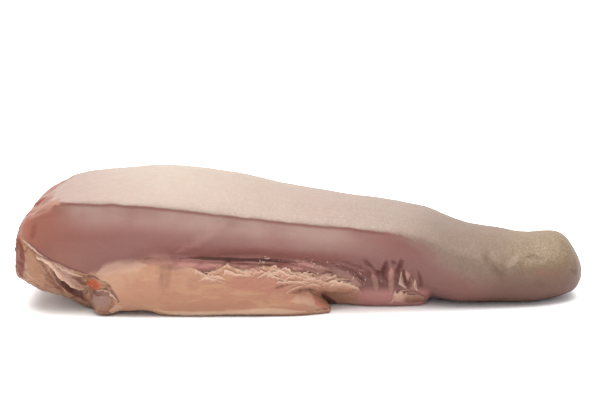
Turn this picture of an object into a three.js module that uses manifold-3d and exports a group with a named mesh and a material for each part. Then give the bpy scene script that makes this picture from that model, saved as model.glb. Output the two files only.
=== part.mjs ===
// A raw beef tongue, trimmed at the root and lying on its cut underside.
// Millimetres, +Z up. The root is at -X, the tip at +X, and the rough back faces up.
// The origin is on the resting surface, under the middle of the tongue's box.
//
// The tongue grew as one piece, so it is one mesh. It is joined from lofted masses that
// cross each other, which leaves a true fold wherever two of them meet: the muscular body,
// the ridge under it, and on each side a slab of fat with a loose end.
import * as THREE from "three";
import { mergeVertices } from "three/addons/utils/BufferGeometryUtils.js";
import Module from "manifold-3d";

// Driving dimensions.
const LENGTH = 340; // root cut to tip
const HALF_WIDTH = 50.5; // at the widest bulge of the side
const HEIGHT = 80.5; // resting surface to the hump of the back

// Proportions that the sections are drawn in, so that the driving dimensions scale them.
const DRAWN_LENGTH = 340;
const DRAWN_HALF_WIDTH = 50.5;
const DRAWN_HEIGHT = 80.5;

// The back ends in a thin lip that overhangs the smooth side.
const LIP_IN = 1.6;
const LIP_DOWN = 2.2;
const SHOULDER_AT = 0.56; // of the half-width, where the crown of the back is steered
const CROWN_POWER = 2.3; // 2 is a parabola, more is a flatter back
const ROUND_POWER = 3; // near the tip the back rounds over into the side

// Fineness of the lofts and of the glands.
const RINGS_PER_SECTION = 3;
const STEPS_PER_POINT = 3;
const GLAND_SEGMENTS = [14, 10];

const FAR_SIDE_WIDTH = 0.985; // the far side is a little slimmer
const FAR_SLAB_SHIFT = -7; // and its slab of fat starts nearer the root
const FAR_FLAP_SHIFT = -16;

const wasm = await Module();
wasm.setup();

// ---------- drawing helpers ----------

const scaled = (x, y, z) =>
  new THREE.Vector3(
    (x * LENGTH) / DRAWN_LENGTH,
    (y * HALF_WIDTH) / DRAWN_HALF_WIDTH,
    (z * HEIGHT) / DRAWN_HEIGHT,
  );

// Lofts a closed body over cross-sections { x, ring: [[y, z], ...] } that all have as many points.
// Each point runs along the body on its own smooth rail, and each ring is a smooth closed curve.
function loft(sections) {
  const points = sections[0].ring.length;
  const rails = Array.from(
    { length: points },
    (_, i) =>
      new THREE.CatmullRomCurve3(
        sections.map(({ x, ring }) => scaled(x, ...ring[i])),
        false,
        "centripetal",
      ),
  );
  const rings = (sections.length - 1) * RINGS_PER_SECTION;
  const around = points * STEPS_PER_POINT;
  const position = [];
  const index = [];
  for (let r = 0; r <= rings; r++) {
    const steering = rails.map((rail) => rail.getPoint(r / rings));
    const ring = new THREE.CatmullRomCurve3(steering, true, "centripetal");
    for (let s = 0; s < around; s++) {
      position.push(...ring.getPoint(s / around).toArray());
    }
  }
  for (let r = 0; r < rings; r++) {
    for (let s = 0; s < around; s++) {
      const a = r * around + s;
      const b = r * around + ((s + 1) % around);
      index.push(a, b, a + around, b, b + around, a + around);
    }
  }
  for (const [first, turn] of [[0, true], [rings * around, false]]) {
    closeEnd(position, index, first, around, turn);
  }
  return new THREE.BufferGeometry()
    .setAttribute("position", new THREE.Float32BufferAttribute(position, 3))
    .setIndex(index);
}

// Closes one end of a loft with a fan about the middle of its ring.
function closeEnd(position, index, first, around, turn) {
  const middle = new THREE.Vector3();
  for (let s = 0; s < around; s++) {
    const at = 3 * (first + s);
    middle.add(new THREE.Vector3(...position.slice(at, at + 3)));
  }
  middle.divideScalar(around);
  const hub = position.length / 3;
  position.push(...middle.toArray());
  for (let s = 0; s < around; s++) {
    const a = first + s;
    const b = first + ((s + 1) % around);
    index.push(...(turn ? [hub, b, a] : [hub, a, b]));
  }
}

// The same sections on the other side of the body, moved along it.
const acrossBody = (sections, shift) =>
  sections.map(({ x, ring }) => ({
    x: x + shift,
    ring: ring.map(([y, z]) => [-y * FAR_SIDE_WIDTH, z]).reverse(),
  }));

function solidFrom(geometry) {
  const bare = geometry.clone();
  bare.deleteAttribute("normal");
  bare.deleteAttribute("uv");
  const merged = mergeVertices(bare, 1e-4);
  const solid = new wasm.Manifold(
    new wasm.Mesh({
      numProp: 3,
      vertProperties: merged.attributes.position.array,
      triVerts: new Uint32Array(merged.index.array),
    }),
  );
  if (solid.volume() < 0) throw new Error("a mass is inside out");
  return solid;
}

function geometryFrom(solid) {
  const mesh = solid.getMesh();
  const position = new Float32Array(mesh.numVert * 3);
  for (let i = 0; i < mesh.numVert; i++) {
    const from = i * mesh.numProp;
    position.set(mesh.vertProperties.subarray(from, from + 3), i * 3);
  }
  return new THREE.BufferGeometry()
    .setAttribute("position", new THREE.BufferAttribute(position, 3))
    .setIndex(new THREE.BufferAttribute(mesh.triVerts, 1));
}

// ---------- the body of the tongue ----------

// One row per cross-section, from the root to the tip: x, crest, edge, bulge, tuck, flank, keel and
// sway. crest and keel are heights on the middle line. The next four are [half-width, height]: the
// edge of the back, the bulge of the side, the tuck where the side turns under, and the flank of the
// belly. sway, where given, moves a section off the middle line.
const BODY_ROWS = [
  [-168.5, 41, [16, 39], [24, 30], [21, 22], [12, 19], 18],
  [-166, 49.5, [28, 47.5], [35, 35], [32, 22.5], [19, 17], 15],
  [-159, 58, [36, 56.5], [41.5, 41], [38, 22.5], [24, 13.5], 11],
  [-148, 65.5, [39.5, 64.5], [45.5, 46], [42, 23.5], [28, 10.5], 7],
  [-131, 72.5, [43, 69], [48.5, 47], [43.5, 25.5], [30, 7.5], 3],
  [-107, 77.8, [46, 69], [50, 50], [42, 31.5], [27, 14], 6],
  [-85, 80.2, [47, 67.5], [50.5, 50], [40.5, 34.5], [26, 18], 10],
  [-65, 80.2, [47.5, 65.5], [50.5, 49], [39.5, 35.5], [25, 20], 12],
  [-35, 75, [46.5, 61.5], [49, 47], [38, 35], [24, 20], 12],
  [0, 67, [44.5, 57], [46.5, 44], [36.5, 33.5], [22, 19], 12],
  [30, 61.8, [42, 54], [43.5, 42], [34, 30], [19, 18], 11],
  [58, 58, [39, 49.5], [40, 38], [32, 25], [18, 14], 9],
  [78, 54, [36.5, 43], [37.5, 33], [31.5, 17], [18, 6], 3, 1],
  [95, 46.4, [35, 34], [36.5, 26.5], [31.5, 11.5], [18.5, 2.5], 0.8, 2.5],
  [120, 41, [33.5, 27.5], [34.5, 21], [30, 8.8], [18, 1], -1, 5],
  [140, 37.2, [31.5, 25.5], [32.5, 19.5], [28.5, 7.6], [17.5, 0.6], -1, 7],
  [151, 38.2, [28.5, 26], [29.5, 19.5], [26, 8], [16, 1.4], 0.2, 8],
  [160, 37.6, [24, 26], [25.5, 18.5], [22, 8.6], [13, 3.4], 2, 8.3],
  [167.5, 29, [17, 23], [18.5, 17], [16, 9.8], [9, 6.4], 5, 8.5],
  [171.5, 20.5, [8, 18.5], [9, 15.5], [8, 12.6], [4.5, 10.8], 10, 8.5],
];

// The lip is full along the root half and has faded out before the tip.
const LIP_FULL_TO = 10;
const LIP_GONE_FROM = 72;

function bodySection([x, crest, edge, bulge, tuck, flank, keel, sway = 0]) {
  const rise = crest - edge[1];
  const lipped = 1 - THREE.MathUtils.smoothstep(x, LIP_FULL_TO, LIP_GONE_FROM);
  const crownPower = THREE.MathUtils.lerp(ROUND_POWER, CROWN_POWER, lipped);
  const shoulder = [
    SHOULDER_AT * edge[0],
    edge[1] + rise * (1 - SHOULDER_AT ** crownPower),
  ];
  const narrowing = Math.min(1, edge[0] / HALF_WIDTH);
  const lip = [
    edge[0] - LIP_IN * narrowing * lipped,
    edge[1] - LIP_DOWN * narrowing,
  ];
  const side = [shoulder, edge, lip, bulge, tuck, flank];
  const near = side.map(([w, z]) => [sway - w, z]);
  const far = side.map(([w, z]) => [sway + w * FAR_SIDE_WIDTH, z]).reverse();
  return { x, ring: [[sway, crest], ...near, [sway, keel], ...far] };
}

const bodyOfTongue = () => loft(BODY_ROWS.map(bodySection));

// ---------- the masses under the body ----------

// The muscle ridge that tied the tongue to the floor of the mouth. It stops short under the tip.
// Each row gives the ridge's half-width, its top, and the height of its bottom.
const RIDGE_ROWS = [
  { x: -150, half: 20, top: 32, bottom: 11 },
  { x: -128, half: 33, top: 30, bottom: 0.5 },
  { x: -100, half: 36, top: 30, bottom: -1.5 },
  { x: -40, half: 35, top: 30, bottom: -1.5 },
  { x: 0, half: 27, top: 27, bottom: -1.5 },
  { x: 22, half: 20, top: 25, bottom: -1 },
  { x: 40, half: 24, top: 24, bottom: -1.5 },
  { x: 66, half: 23, top: 20, bottom: -1.5 },
  { x: 75, half: 20, top: 16, bottom: -1 },
  { x: 78, half: 13, top: 12, bottom: 2 },
];

// The ridge is widest at half its height and stands on a narrower foot.
function ridgeSection({ x, half, top, bottom }) {
  const tall = top - bottom;
  const side = [
    [0.8 * half, bottom + 0.86 * tall],
    [half, bottom + 0.5 * tall],
    [0.92 * half, bottom + 0.18 * tall],
    [0.64 * half, bottom],
  ];
  const near = side.map(([w, z]) => [-w, z]);
  const far = side.map(([w, z]) => [w, z]).reverse();
  return { x, ring: [[0, top], ...near, ...far] };
}

const muscleRidge = () => loft(RIDGE_ROWS.map(ridgeSection));

// A slab of fat and muscle along the near side, from the root to where it thins into the ridge.
const SLAB_SECTIONS = [
  { x: -123, ring: [[-22, 27], [-36, 33], [-40, 32], [-41, 29], [-40, 26], [-34, 24], [-22, 24]] },
  { x: -115, ring: [[-14, 26], [-37, 34], [-43, 32], [-44.5, 23], [-42, 15], [-35, 10], [-14, 9]] },
  { x: -106, ring: [[-14, 26], [-38, 36], [-44.5, 33], [-46, 21], [-43.5, 9], [-37, 3], [-14, 2]] },
  { x: -88, ring: [[-14, 26], [-38, 37], [-45, 34], [-47, 21], [-44.5, 9], [-38, 3], [-14, 2]] },
  { x: -78, ring: [[-14, 26], [-37.5, 37], [-44.5, 34], [-47, 21], [-44.5, 8], [-38, -1], [-14, -1]] },
  { x: -35, ring: [[-14, 24], [-36, 36.5], [-43, 33.5], [-46, 20], [-43, 8], [-37, -1], [-14, -1]] },
  { x: -8, ring: [[-14, 22], [-34.5, 34], [-41, 30.5], [-43, 20], [-40, 12], [-33, 5], [-14, 3]] },
  { x: 10, ring: [[-14, 20], [-32, 30], [-37, 26], [-37.5, 20], [-33, 14], [-27, 11], [-14, 8]] },
  { x: 25, ring: [[-12, 18], [-29, 25.5], [-32.5, 21], [-32, 16], [-28, 12], [-20, 8.5], [-10, 7]] },
  { x: 36, ring: [[-10, 15], [-24, 21], [-27.5, 17.5], [-26.5, 13.5], [-23, 10.5], [-16, 8], [-9, 7]] },
  { x: 45, ring: [[-8, 14], [-18, 19], [-22, 15.5], [-22, 12.5], [-19, 10], [-13, 8], [-8, 7]] },
];

// The loose end of the slab, a flap that lies on the surface and ends in a toe.
const FLAP_SECTIONS = [
  { x: -44, ring: [[-20, 8], [-36, 11], [-40.5, 9], [-42, 5], [-37.5, -1], [-20, -1]] },
  { x: -12, ring: [[-18, 12], [-35, 16], [-41, 13.5], [-43, 6], [-38, -1], [-18, -1]] },
  { x: 4, ring: [[-18, 9], [-33, 13.5], [-39, 11.5], [-41, 6], [-36.5, -1], [-18, -1]] },
  { x: 13, ring: [[-20, 6], [-30, 7.8], [-35, 7], [-37, 4], [-34, -1], [-20, -1]] },
  { x: 19.5, ring: [[-25, 1.8], [-30, 2.4], [-33, 2.2], [-34, 1.4], [-32, 0.2], [-25, 0.2]] },
];

// The cut salivary gland and fat between the slab and the root: { centre, radii }.
const GLANDS = [
  { centre: [-113.5, -36, 9], radii: [10.5, 8.5, 9.6] },
  { centre: [-112, 34, 10.5], radii: [12, 7.5, 9.5] },
];

function gland({ centre, radii }) {
  const ball = new THREE.SphereGeometry(1, ...GLAND_SEGMENTS);
  ball.scale(...scaled(...radii).toArray());
  ball.translate(...scaled(...centre).toArray());
  return ball;
}

// ---------- joining ----------

// Soft meat lies flat where it rests, so everything under the resting surface is cut away.
function restOnSurface(solid) {
  const deep = 20;
  const below = new THREE.BoxGeometry(2 * LENGTH, 4 * HALF_WIDTH, deep);
  below.translate(0, 0, -deep / 2);
  return solid.subtract(solidFrom(below));
}

// Moves the tongue so that the origin is under the middle of its box.
function centred(geometry) {
  geometry.computeBoundingBox();
  const { min, max } = geometry.boundingBox;
  return geometry.translate(-(min.x + max.x) / 2, -(min.y + max.y) / 2, -min.z);
}

function wholeTongue() {
  const masses = [
    bodyOfTongue(),
    muscleRidge(),
    loft(SLAB_SECTIONS),
    loft(FLAP_SECTIONS),
    loft(acrossBody(SLAB_SECTIONS, FAR_SLAB_SHIFT)),
    loft(acrossBody(FLAP_SECTIONS, FAR_FLAP_SHIFT)),
    ...GLANDS.map(gland),
  ];
  const joined = masses.map(solidFrom).reduce((all, mass) => all.add(mass));
  return centred(geometryFrom(restOnSurface(joined)));
}

const rawMeat = new THREE.MeshStandardMaterial({
  color: 0xb98a80,
  roughness: 0.45,
  metalness: 0,
});

const geometry = wholeTongue();
geometry.computeVertexNormals();

const tongue = new THREE.Mesh(geometry, rawMeat);
tongue.name = "beef_tongue";

const part = new THREE.Group();
part.add(tongue);

export default part;
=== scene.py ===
import math

import bmesh
import bpy
import numpy as np
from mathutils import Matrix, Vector, noise
from mathutils.bvhtree import BVHTree


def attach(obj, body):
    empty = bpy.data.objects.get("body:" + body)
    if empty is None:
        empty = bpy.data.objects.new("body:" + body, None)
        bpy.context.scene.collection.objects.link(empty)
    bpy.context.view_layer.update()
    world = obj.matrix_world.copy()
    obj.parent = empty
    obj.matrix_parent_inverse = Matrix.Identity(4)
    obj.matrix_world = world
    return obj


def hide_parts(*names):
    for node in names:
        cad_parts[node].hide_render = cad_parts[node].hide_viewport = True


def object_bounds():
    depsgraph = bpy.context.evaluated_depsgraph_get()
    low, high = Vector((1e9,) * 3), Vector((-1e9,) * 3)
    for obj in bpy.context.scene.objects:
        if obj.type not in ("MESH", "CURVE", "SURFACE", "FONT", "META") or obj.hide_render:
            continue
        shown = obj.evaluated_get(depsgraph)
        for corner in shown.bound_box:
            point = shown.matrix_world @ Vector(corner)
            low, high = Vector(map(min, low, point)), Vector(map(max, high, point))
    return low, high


# A raw beef tongue, root to the left and tip to the right, lying on its cut underside.
# Metres in the file, millimetres in the dictionaries: everything is multiplied by mm.
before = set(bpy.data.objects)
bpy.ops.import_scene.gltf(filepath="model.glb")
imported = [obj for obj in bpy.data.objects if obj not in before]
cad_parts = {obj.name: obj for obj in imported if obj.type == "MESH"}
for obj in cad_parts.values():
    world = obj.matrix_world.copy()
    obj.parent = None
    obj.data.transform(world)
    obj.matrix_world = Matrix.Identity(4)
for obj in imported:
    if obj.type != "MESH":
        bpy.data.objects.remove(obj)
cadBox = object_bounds()
tongueLength = 340  # mm
mm = (cadBox[1].x - cadBox[0].x) / tongueLength
print("frame loaded, box in mm", [round(v / mm) for v in cadBox[1] - cadBox[0]])

camera = {"lens": 100, "tilt": 13, "distance": 1000, "aimX": -0.9, "aimZ": 60.9}


def makeCamera():
    data = bpy.data.cameras.new("camera")
    data.lens = camera["lens"]
    eye = bpy.data.objects.new("camera", data)
    bpy.context.scene.collection.objects.link(eye)
    tilt = math.radians(camera["tilt"])
    back = Vector((0, -math.cos(tilt), math.sin(tilt)))
    aim = Vector((camera["aimX"] * mm, 0, camera["aimZ"] * mm))
    eye.location = aim + back * camera["distance"] * mm
    eye.rotation_euler = back.to_track_quat("Z", "Y").to_euler()
    bpy.context.scene.camera = eye


makeCamera()


def srgb(red, green, blue):
    # a colour written as 0-255 screen values
    def linear(v):
        v = v / 255
        return v / 12.92 if v <= 0.04045 else ((v + 0.055) / 1.055) ** 2.4

    return (linear(red), linear(green), linear(blue), 1)


def seen(red, green, blue, light):
    # the pigment that looks like that screen colour under that much red, green and blue light
    return tuple(v / l for v, l in zip(srgb(red, green, blue), light)) + (1,)


class Wire:
    # wraps one socket so that shader maths reads as ordinary sums
    def __init__(self, shader, socket):
        self.shader = shader
        self.socket = socket

    def maths(self, operation, first, second):
        return self.shader.node("ShaderNodeMath", {"operation": operation}, {0: first, 1: second})

    def __add__(self, other):
        return self.maths("ADD", self, other)

    def __radd__(self, other):
        return self.maths("ADD", other, self)

    def __sub__(self, other):
        return self.maths("SUBTRACT", self, other)

    def __rsub__(self, other):
        return self.maths("SUBTRACT", other, self)

    def __mul__(self, other):
        return self.maths("MULTIPLY", self, other)

    def __rmul__(self, other):
        return self.maths("MULTIPLY", other, self)

    def __abs__(self):
        return self.maths("ABSOLUTE", self, 0)


class Shader:
    def __init__(self, name):
        self.material = bpy.data.materials.new(name)
        self.material.use_nodes = True
        self.tree = self.material.node_tree
        self.tree.nodes.clear()
        self.here = self.node("ShaderNodeTexCoord", output="Object")

    def node(self, kind, settings=None, sockets=None, output=0):
        made = self.tree.nodes.new(kind)
        for name, value in (settings or {}).items():
            if name == "stops":
                self.setStops(made.color_ramp, value)
            else:
                setattr(made, name, value)
        for key, value in (sockets or {}).items():
            if isinstance(value, Wire):
                self.tree.links.new(value.socket, made.inputs[key])
            else:
                made.inputs[key].default_value = value
        return Wire(self, made.outputs[output]) if len(made.outputs) else made

    def setStops(self, ramp, stops):
        while len(ramp.elements) > 1:
            ramp.elements.remove(ramp.elements[0])
        for i, (place, colour) in enumerate(stops):
            spot = ramp.elements[0] if i == 0 else ramp.elements.new(place)
            spot.position = place
            spot.color = colour

    def mark(self, name):
        return self.node("ShaderNodeAttribute", {"attribute_name": name}, output="Fac")

    def axis(self, name):
        return self.node("ShaderNodeSeparateXYZ", None, {0: self.here}, output=name)

    def noise(self, size, detail=3, roughness=0.55, distortion=0, stretch=(1, 1, 1), shift=0):
        # size is the width of a blotch in mm
        where = self.node("ShaderNodeMapping", None, {
            "Vector": self.here,
            "Location": (shift, shift * 0.7, -shift),
            "Scale": tuple(1 / s for s in stretch),
        })
        return self.node("ShaderNodeTexNoise", None, {
            "Vector": where,
            "Scale": 1 / (size * mm),
            "Detail": detail,
            "Roughness": roughness,
            "Distortion": distortion,
        })

    def step(self, value, low, high, start=0, end=1):
        # slides smoothly from start to end as value goes from low to high
        return self.node("ShaderNodeMapRange", {"interpolation_type": "SMOOTHSTEP"}, {
            "Value": value, "From Min": low, "From Max": high, "To Min": start, "To Max": end,
        })

    def ramp(self, value, stops, interpolation="LINEAR"):
        made = self.node("ShaderNodeValToRGB", {"stops": stops}, {"Fac": value})
        made.socket.node.color_ramp.interpolation = interpolation
        return made

    def along(self, stops):
        # a colour that changes along the tongue, from (x in mm, colour) stops
        low, high = stops[0][0], stops[-1][0]
        place = self.node("ShaderNodeMapRange", None, {
            "Value": self.axis("X"), "From Min": low * mm, "From Max": high * mm,
        })
        return self.ramp(place, [((x - low) / (high - low), c) for x, c in stops], "B_SPLINE")

    def mix(self, factor, first, second, blend="MIX"):
        settings = {"data_type": "RGBA", "blend_type": blend, "clamp_factor": True}
        return self.node("ShaderNodeMix", settings, {0: factor, 6: first, 7: second}, output=2)

    def bump(self, height, depth, below=None):
        # depth is in mm for a height that goes from 0 to 1
        sockets = {"Strength": 1.0, "Distance": depth * mm, "Height": height}
        if below is not None:
            sockets["Normal"] = below
        return self.node("ShaderNodeBump", None, sockets)

    def close(self, settings, wired):
        surface = self.node("ShaderNodeBsdfPrincipled", None, {**settings, **wired})
        self.node("ShaderNodeOutputMaterial", None, {"Surface": surface})
        return self.material


def smoothPath(points, perSpan=6):
    # a Catmull-Rom curve through the points
    p = [np.array(q, float) for q in points]
    p = [2 * p[0] - p[1]] + p + [2 * p[-1] - p[-2]]
    out = []
    for i in range(1, len(p) - 2):
        for k in range(perSpan):
            t = k / perSpan
            a, b, c, d = p[i - 1], p[i], p[i + 1], p[i + 2]
            out.append(0.5 * (2 * b + (c - a) * t + (2 * a - 5 * b + 4 * c - d) * t * t
                              + (3 * b - a - 3 * c + d) * t ** 3))
    out.append(p[-2])
    return np.array(out)


def ease(value, low, high):
    t = np.clip((value - low) / (high - low), 0, 1)
    return t * t * (3 - 2 * t)


def blotches(points, size, octaves=3, shift=0.0):
    # soft noise between about -1 and 1, in lumps of that size in mm
    offset = Vector((shift, shift * 1.7, shift * 0.3))
    return np.array([
        noise.fractal(Vector(p) / size + offset, 1.0, 2.0, octaves) for p in points.tolist()
    ])


def fromPath(u, v, path):
    # distance from each point to the path, side of it (+ left, - right) and place along it
    line = smoothPath(path)
    best = np.full(u.shape, 1e9)
    side = np.zeros(u.shape)
    place = np.zeros(u.shape)
    lengths = np.linalg.norm(np.diff(line, axis=0), axis=1)
    total = lengths.sum()
    run = 0.0
    for a, b, length in zip(line[:-1], line[1:], lengths):
        d = (b - a) / length
        t = np.clip((u - a[0]) * d[0] + (v - a[1]) * d[1], 0, length)
        du = u - a[0] - t * d[0]
        dv = v - a[1] - t * d[1]
        dist = np.hypot(du, dv)
        nearer = dist < best
        best = np.where(nearer, dist, best)
        side = np.where(nearer, np.sign(d[0] * dv - d[1] * du), side)
        place = np.where(nearer, (run + t) / total, place)
        run += length
    return best, side, place


class Sculpt:
    # a mesh's points in mm, with strokes that move them and marks that colour them
    def __init__(self, mesh):
        self.mesh = mesh
        co = np.empty(len(mesh.vertices) * 3)
        mesh.vertices.foreach_get("co", co)
        self.at = co.reshape(-1, 3) / mm
        self.marks = {}
        self.refresh()

    def refresh(self):
        self.mesh.vertices.foreach_set("co", (self.at * mm).ravel())
        self.mesh.update()
        normal = np.empty(len(self.at) * 3)
        self.mesh.vertex_normals.foreach_get("vector", normal)
        self.normal = normal.reshape(-1, 3)

    def push(self, amount):
        self.at += self.normal * amount[:, None]

    def part(self, plane, path, reach, where):
        # the points within reach of a path's box, seen flat in that plane; where is 0 for those left out
        u, v = self.at[:, plane[0]], self.at[:, plane[1]]
        p = np.array(path, float)
        low, high = p.min(0) - reach, p.max(0) + reach
        return np.nonzero((u > low[0]) & (u < high[0]) & (v > low[1]) & (v < high[1]) & (where > 0))[0]

    def stroke(self, path, width, depth, where, plane=(0, 2), lip=0.2, fade=0.25):
        # a crease (depth above 0) or a ridge (below 0) that runs out at both ends
        pick = self.part(plane, path, width * 4, where)
        if not len(pick):
            return
        dist, _, place = fromPath(self.at[pick, plane[0]], self.at[pick, plane[1]], path)
        ends = ease(place, 0, fade) * ease(1 - place, 0, fade)
        cut = np.exp(-((dist / width) ** 2))
        rim = np.exp(-(((dist - 2 * width) / width) ** 2))
        self.at[pick] += self.normal[pick] * (depth * ends * (lip * rim - cut))[:, None]

    def paint(self, name, path, width, strength, where, plane=(0, 2), soft=0.3, fade=0.2):
        # a mark that is full near the path and gone at its width and towards its ends, as strong as
        # where, from 0 to 1, says
        mark = self.marks.setdefault(name, np.zeros(len(self.at)))
        pick = self.part(plane, path, width, where)
        if not len(pick):
            return
        dist, _, place = fromPath(self.at[pick, plane[0]], self.at[pick, plane[1]], path)
        ends = 0.25 + 0.75 * ease(place, 0, fade) * ease(1 - place, 0, fade)
        reach = width * ends
        full = strength * where[pick] * (1 - ease(dist, reach * soft, reach))
        mark[pick] = np.maximum(mark[pick], full)

    def save(self):
        self.refresh()
        for name, values in self.marks.items():
            data = self.mesh.attributes.new(name, "FLOAT", "POINT").data
            data.foreach_set("value", values.astype(np.float32))


def bake(thing):
    # the object's modifiers become its mesh
    solid = bpy.data.meshes.new_from_object(
        thing.evaluated_get(bpy.context.evaluated_depsgraph_get()))
    thing.modifiers.clear()
    old = thing.data
    thing.data = solid
    bpy.data.meshes.remove(old)
    return thing


def addPiece(name, bm, material=None):
    mesh = bpy.data.meshes.new(name)
    bm.to_mesh(mesh)
    bm.free()
    thing = bpy.data.objects.new(name, mesh)
    bpy.context.scene.collection.objects.link(thing)
    if material:
        mesh.materials.append(material)
    return thing


def relax(bm, verts, times):
    for _ in range(times):
        bmesh.ops.smooth_vert(bm, verts=verts, factor=0.5, use_axis_x=True, use_axis_y=True,
                              use_axis_z=True)


tongue = {
    "grain": 1.52,  # mm between points over most of it
    "rootLip": {"before": -143, "above": 40, "relaxed": 30},  # where the lip of the back dies away
    "ledge": 1.3,  # how far the torn fat stands out under the smooth side
    "pulled": 0.6,  # height of the fibres in the torn fat
    "cutFibres": 0.7,  # height of the fibres on the cut face of the root
    "cutBundles": 1.1,  # and of its muscle bundles
    "cutDepth": 0.8,  # how deep that face lies
    "bareLumps": 0.9,  # unevenness where the skin has been torn from the root
    "bareDepth": 1.3,  # and how deep that lies
    "lumps": [(28, 0.55), (11, 0.28), (4.5, 0.1)],  # size and height of the soft unevenness
    # where the rough back ends above the smooth side: (x, z)
    "backEdge": [(-172, 50), (-165, 56), (-157, 61), (-147.5, 66), (-141.5, 68), (-137, 68.5),
                 (-108, 68.6), (-86, 67.2), (-66, 65.2), (-36, 61.2), (-1, 56.7), (29, 53.6),
                 (57, 49), (66, 45), (74.5, 39.5), (80.5, 33), (91.5, 24), (105, 17), (129.5, 12),
                 (154.5, 10), (170, 9)],
    # where the cream fat of the near slab ends under the smooth side: (x, z)
    "fatTop": [(-126, 24.5), (-121.5, 26), (-108, 28), (-99, 31), (-91.5, 34.5), (-85, 34.5),
               (-79.5, 31), (-75, 30), (-64, 31.5), (-55, 27.5), (-49, 30.5), (-42.5, 32.5),
               (-35.5, 30), (-30.5, 29.5), (-22.5, 32), (-8.5, 28.5), (-3.5, 28), (6.5, 24),
               (15.5, 25), (22.5, 21.5), (32.5, 16.5), (36, 9), (38, -5)],
    "farFatTop": [(-134, 26), (-118, 31), (-104, 33), (-86, 35), (-70, 31), (-58, 33), (-44, 29),
                  (-30, 31), (-12, 27), (4, 24), (18, 19), (28, 10), (31, -5)],
    # where the torn skin of the root end stops, above the cut fat and membranes: (x, z)
    "skinEnd": [(-172, 48), (-162.5, 46.5), (-157, 44), (-148, 37), (-139.5, 33), (-131, 28.5),
                (-121.5, 25), (-113, 22), (-108, 16), (-107, 4)],
    # painted shadow in the narrow gap between the toe of the near slab and the bridle: (x, z),
    # deeper in than depth
    "deepShade": {"path": [(11, 8), (14, 5.5), (17, 3), (20, 0)], "width": 3.4, "depth": 27},
    # the cut face at the root end is an oval this high up and this big, and lies beyond "from"
    "rootFace": {"from": -152, "height": 35, "halfWidth": 39.5, "halfHeight": 23},
}


def line(points, at):
    xs, ys = zip(*points)
    return np.interp(at, xs, ys)


def tongueBlank():
    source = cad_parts["beef_tongue"]
    bm = bmesh.new()
    bm.from_mesh(source.data)
    bmesh.ops.remove_doubles(bm, verts=bm.verts, dist=0.001 * mm)
    blank = addPiece("tongue_flesh", bm)
    blank.data.materials.clear()
    even = blank.modifiers.new("even", "REMESH")
    even.mode = "VOXEL"
    even.voxel_size = tongue["grain"] * mm
    bake(blank)
    bm = bmesh.new()
    bm.from_mesh(blank.data)
    relax(bm, bm.verts, 3)
    lip = tongue["rootLip"]
    rootLip = [v for v in bm.verts if v.co.x < lip["before"] * mm and v.co.z > lip["above"] * mm]
    relax(bm, rootLip, lip["relaxed"])
    # more points where there is fine detail
    refine = []
    for edge in bm.edges:
        x, y, z = (edge.verts[0].co + edge.verts[1].co) / 2 / mm
        nearSlab = y < -12 and -165 < x < 82 and 2 < z < 40
        wrinkled = y < 0 and 15 < x < 76 and z < 40
        rootEnd = x < -128 and z > 3
        if nearSlab or wrinkled or rootEnd:
            refine.append(edge)
    bmesh.ops.subdivide_edges(bm, edges=refine, cuts=1, use_grid_fill=True, smooth=0.0)
    relax(bm, bm.verts, 2)
    bm.to_mesh(blank.data)
    bm.free()
    return blank


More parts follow.
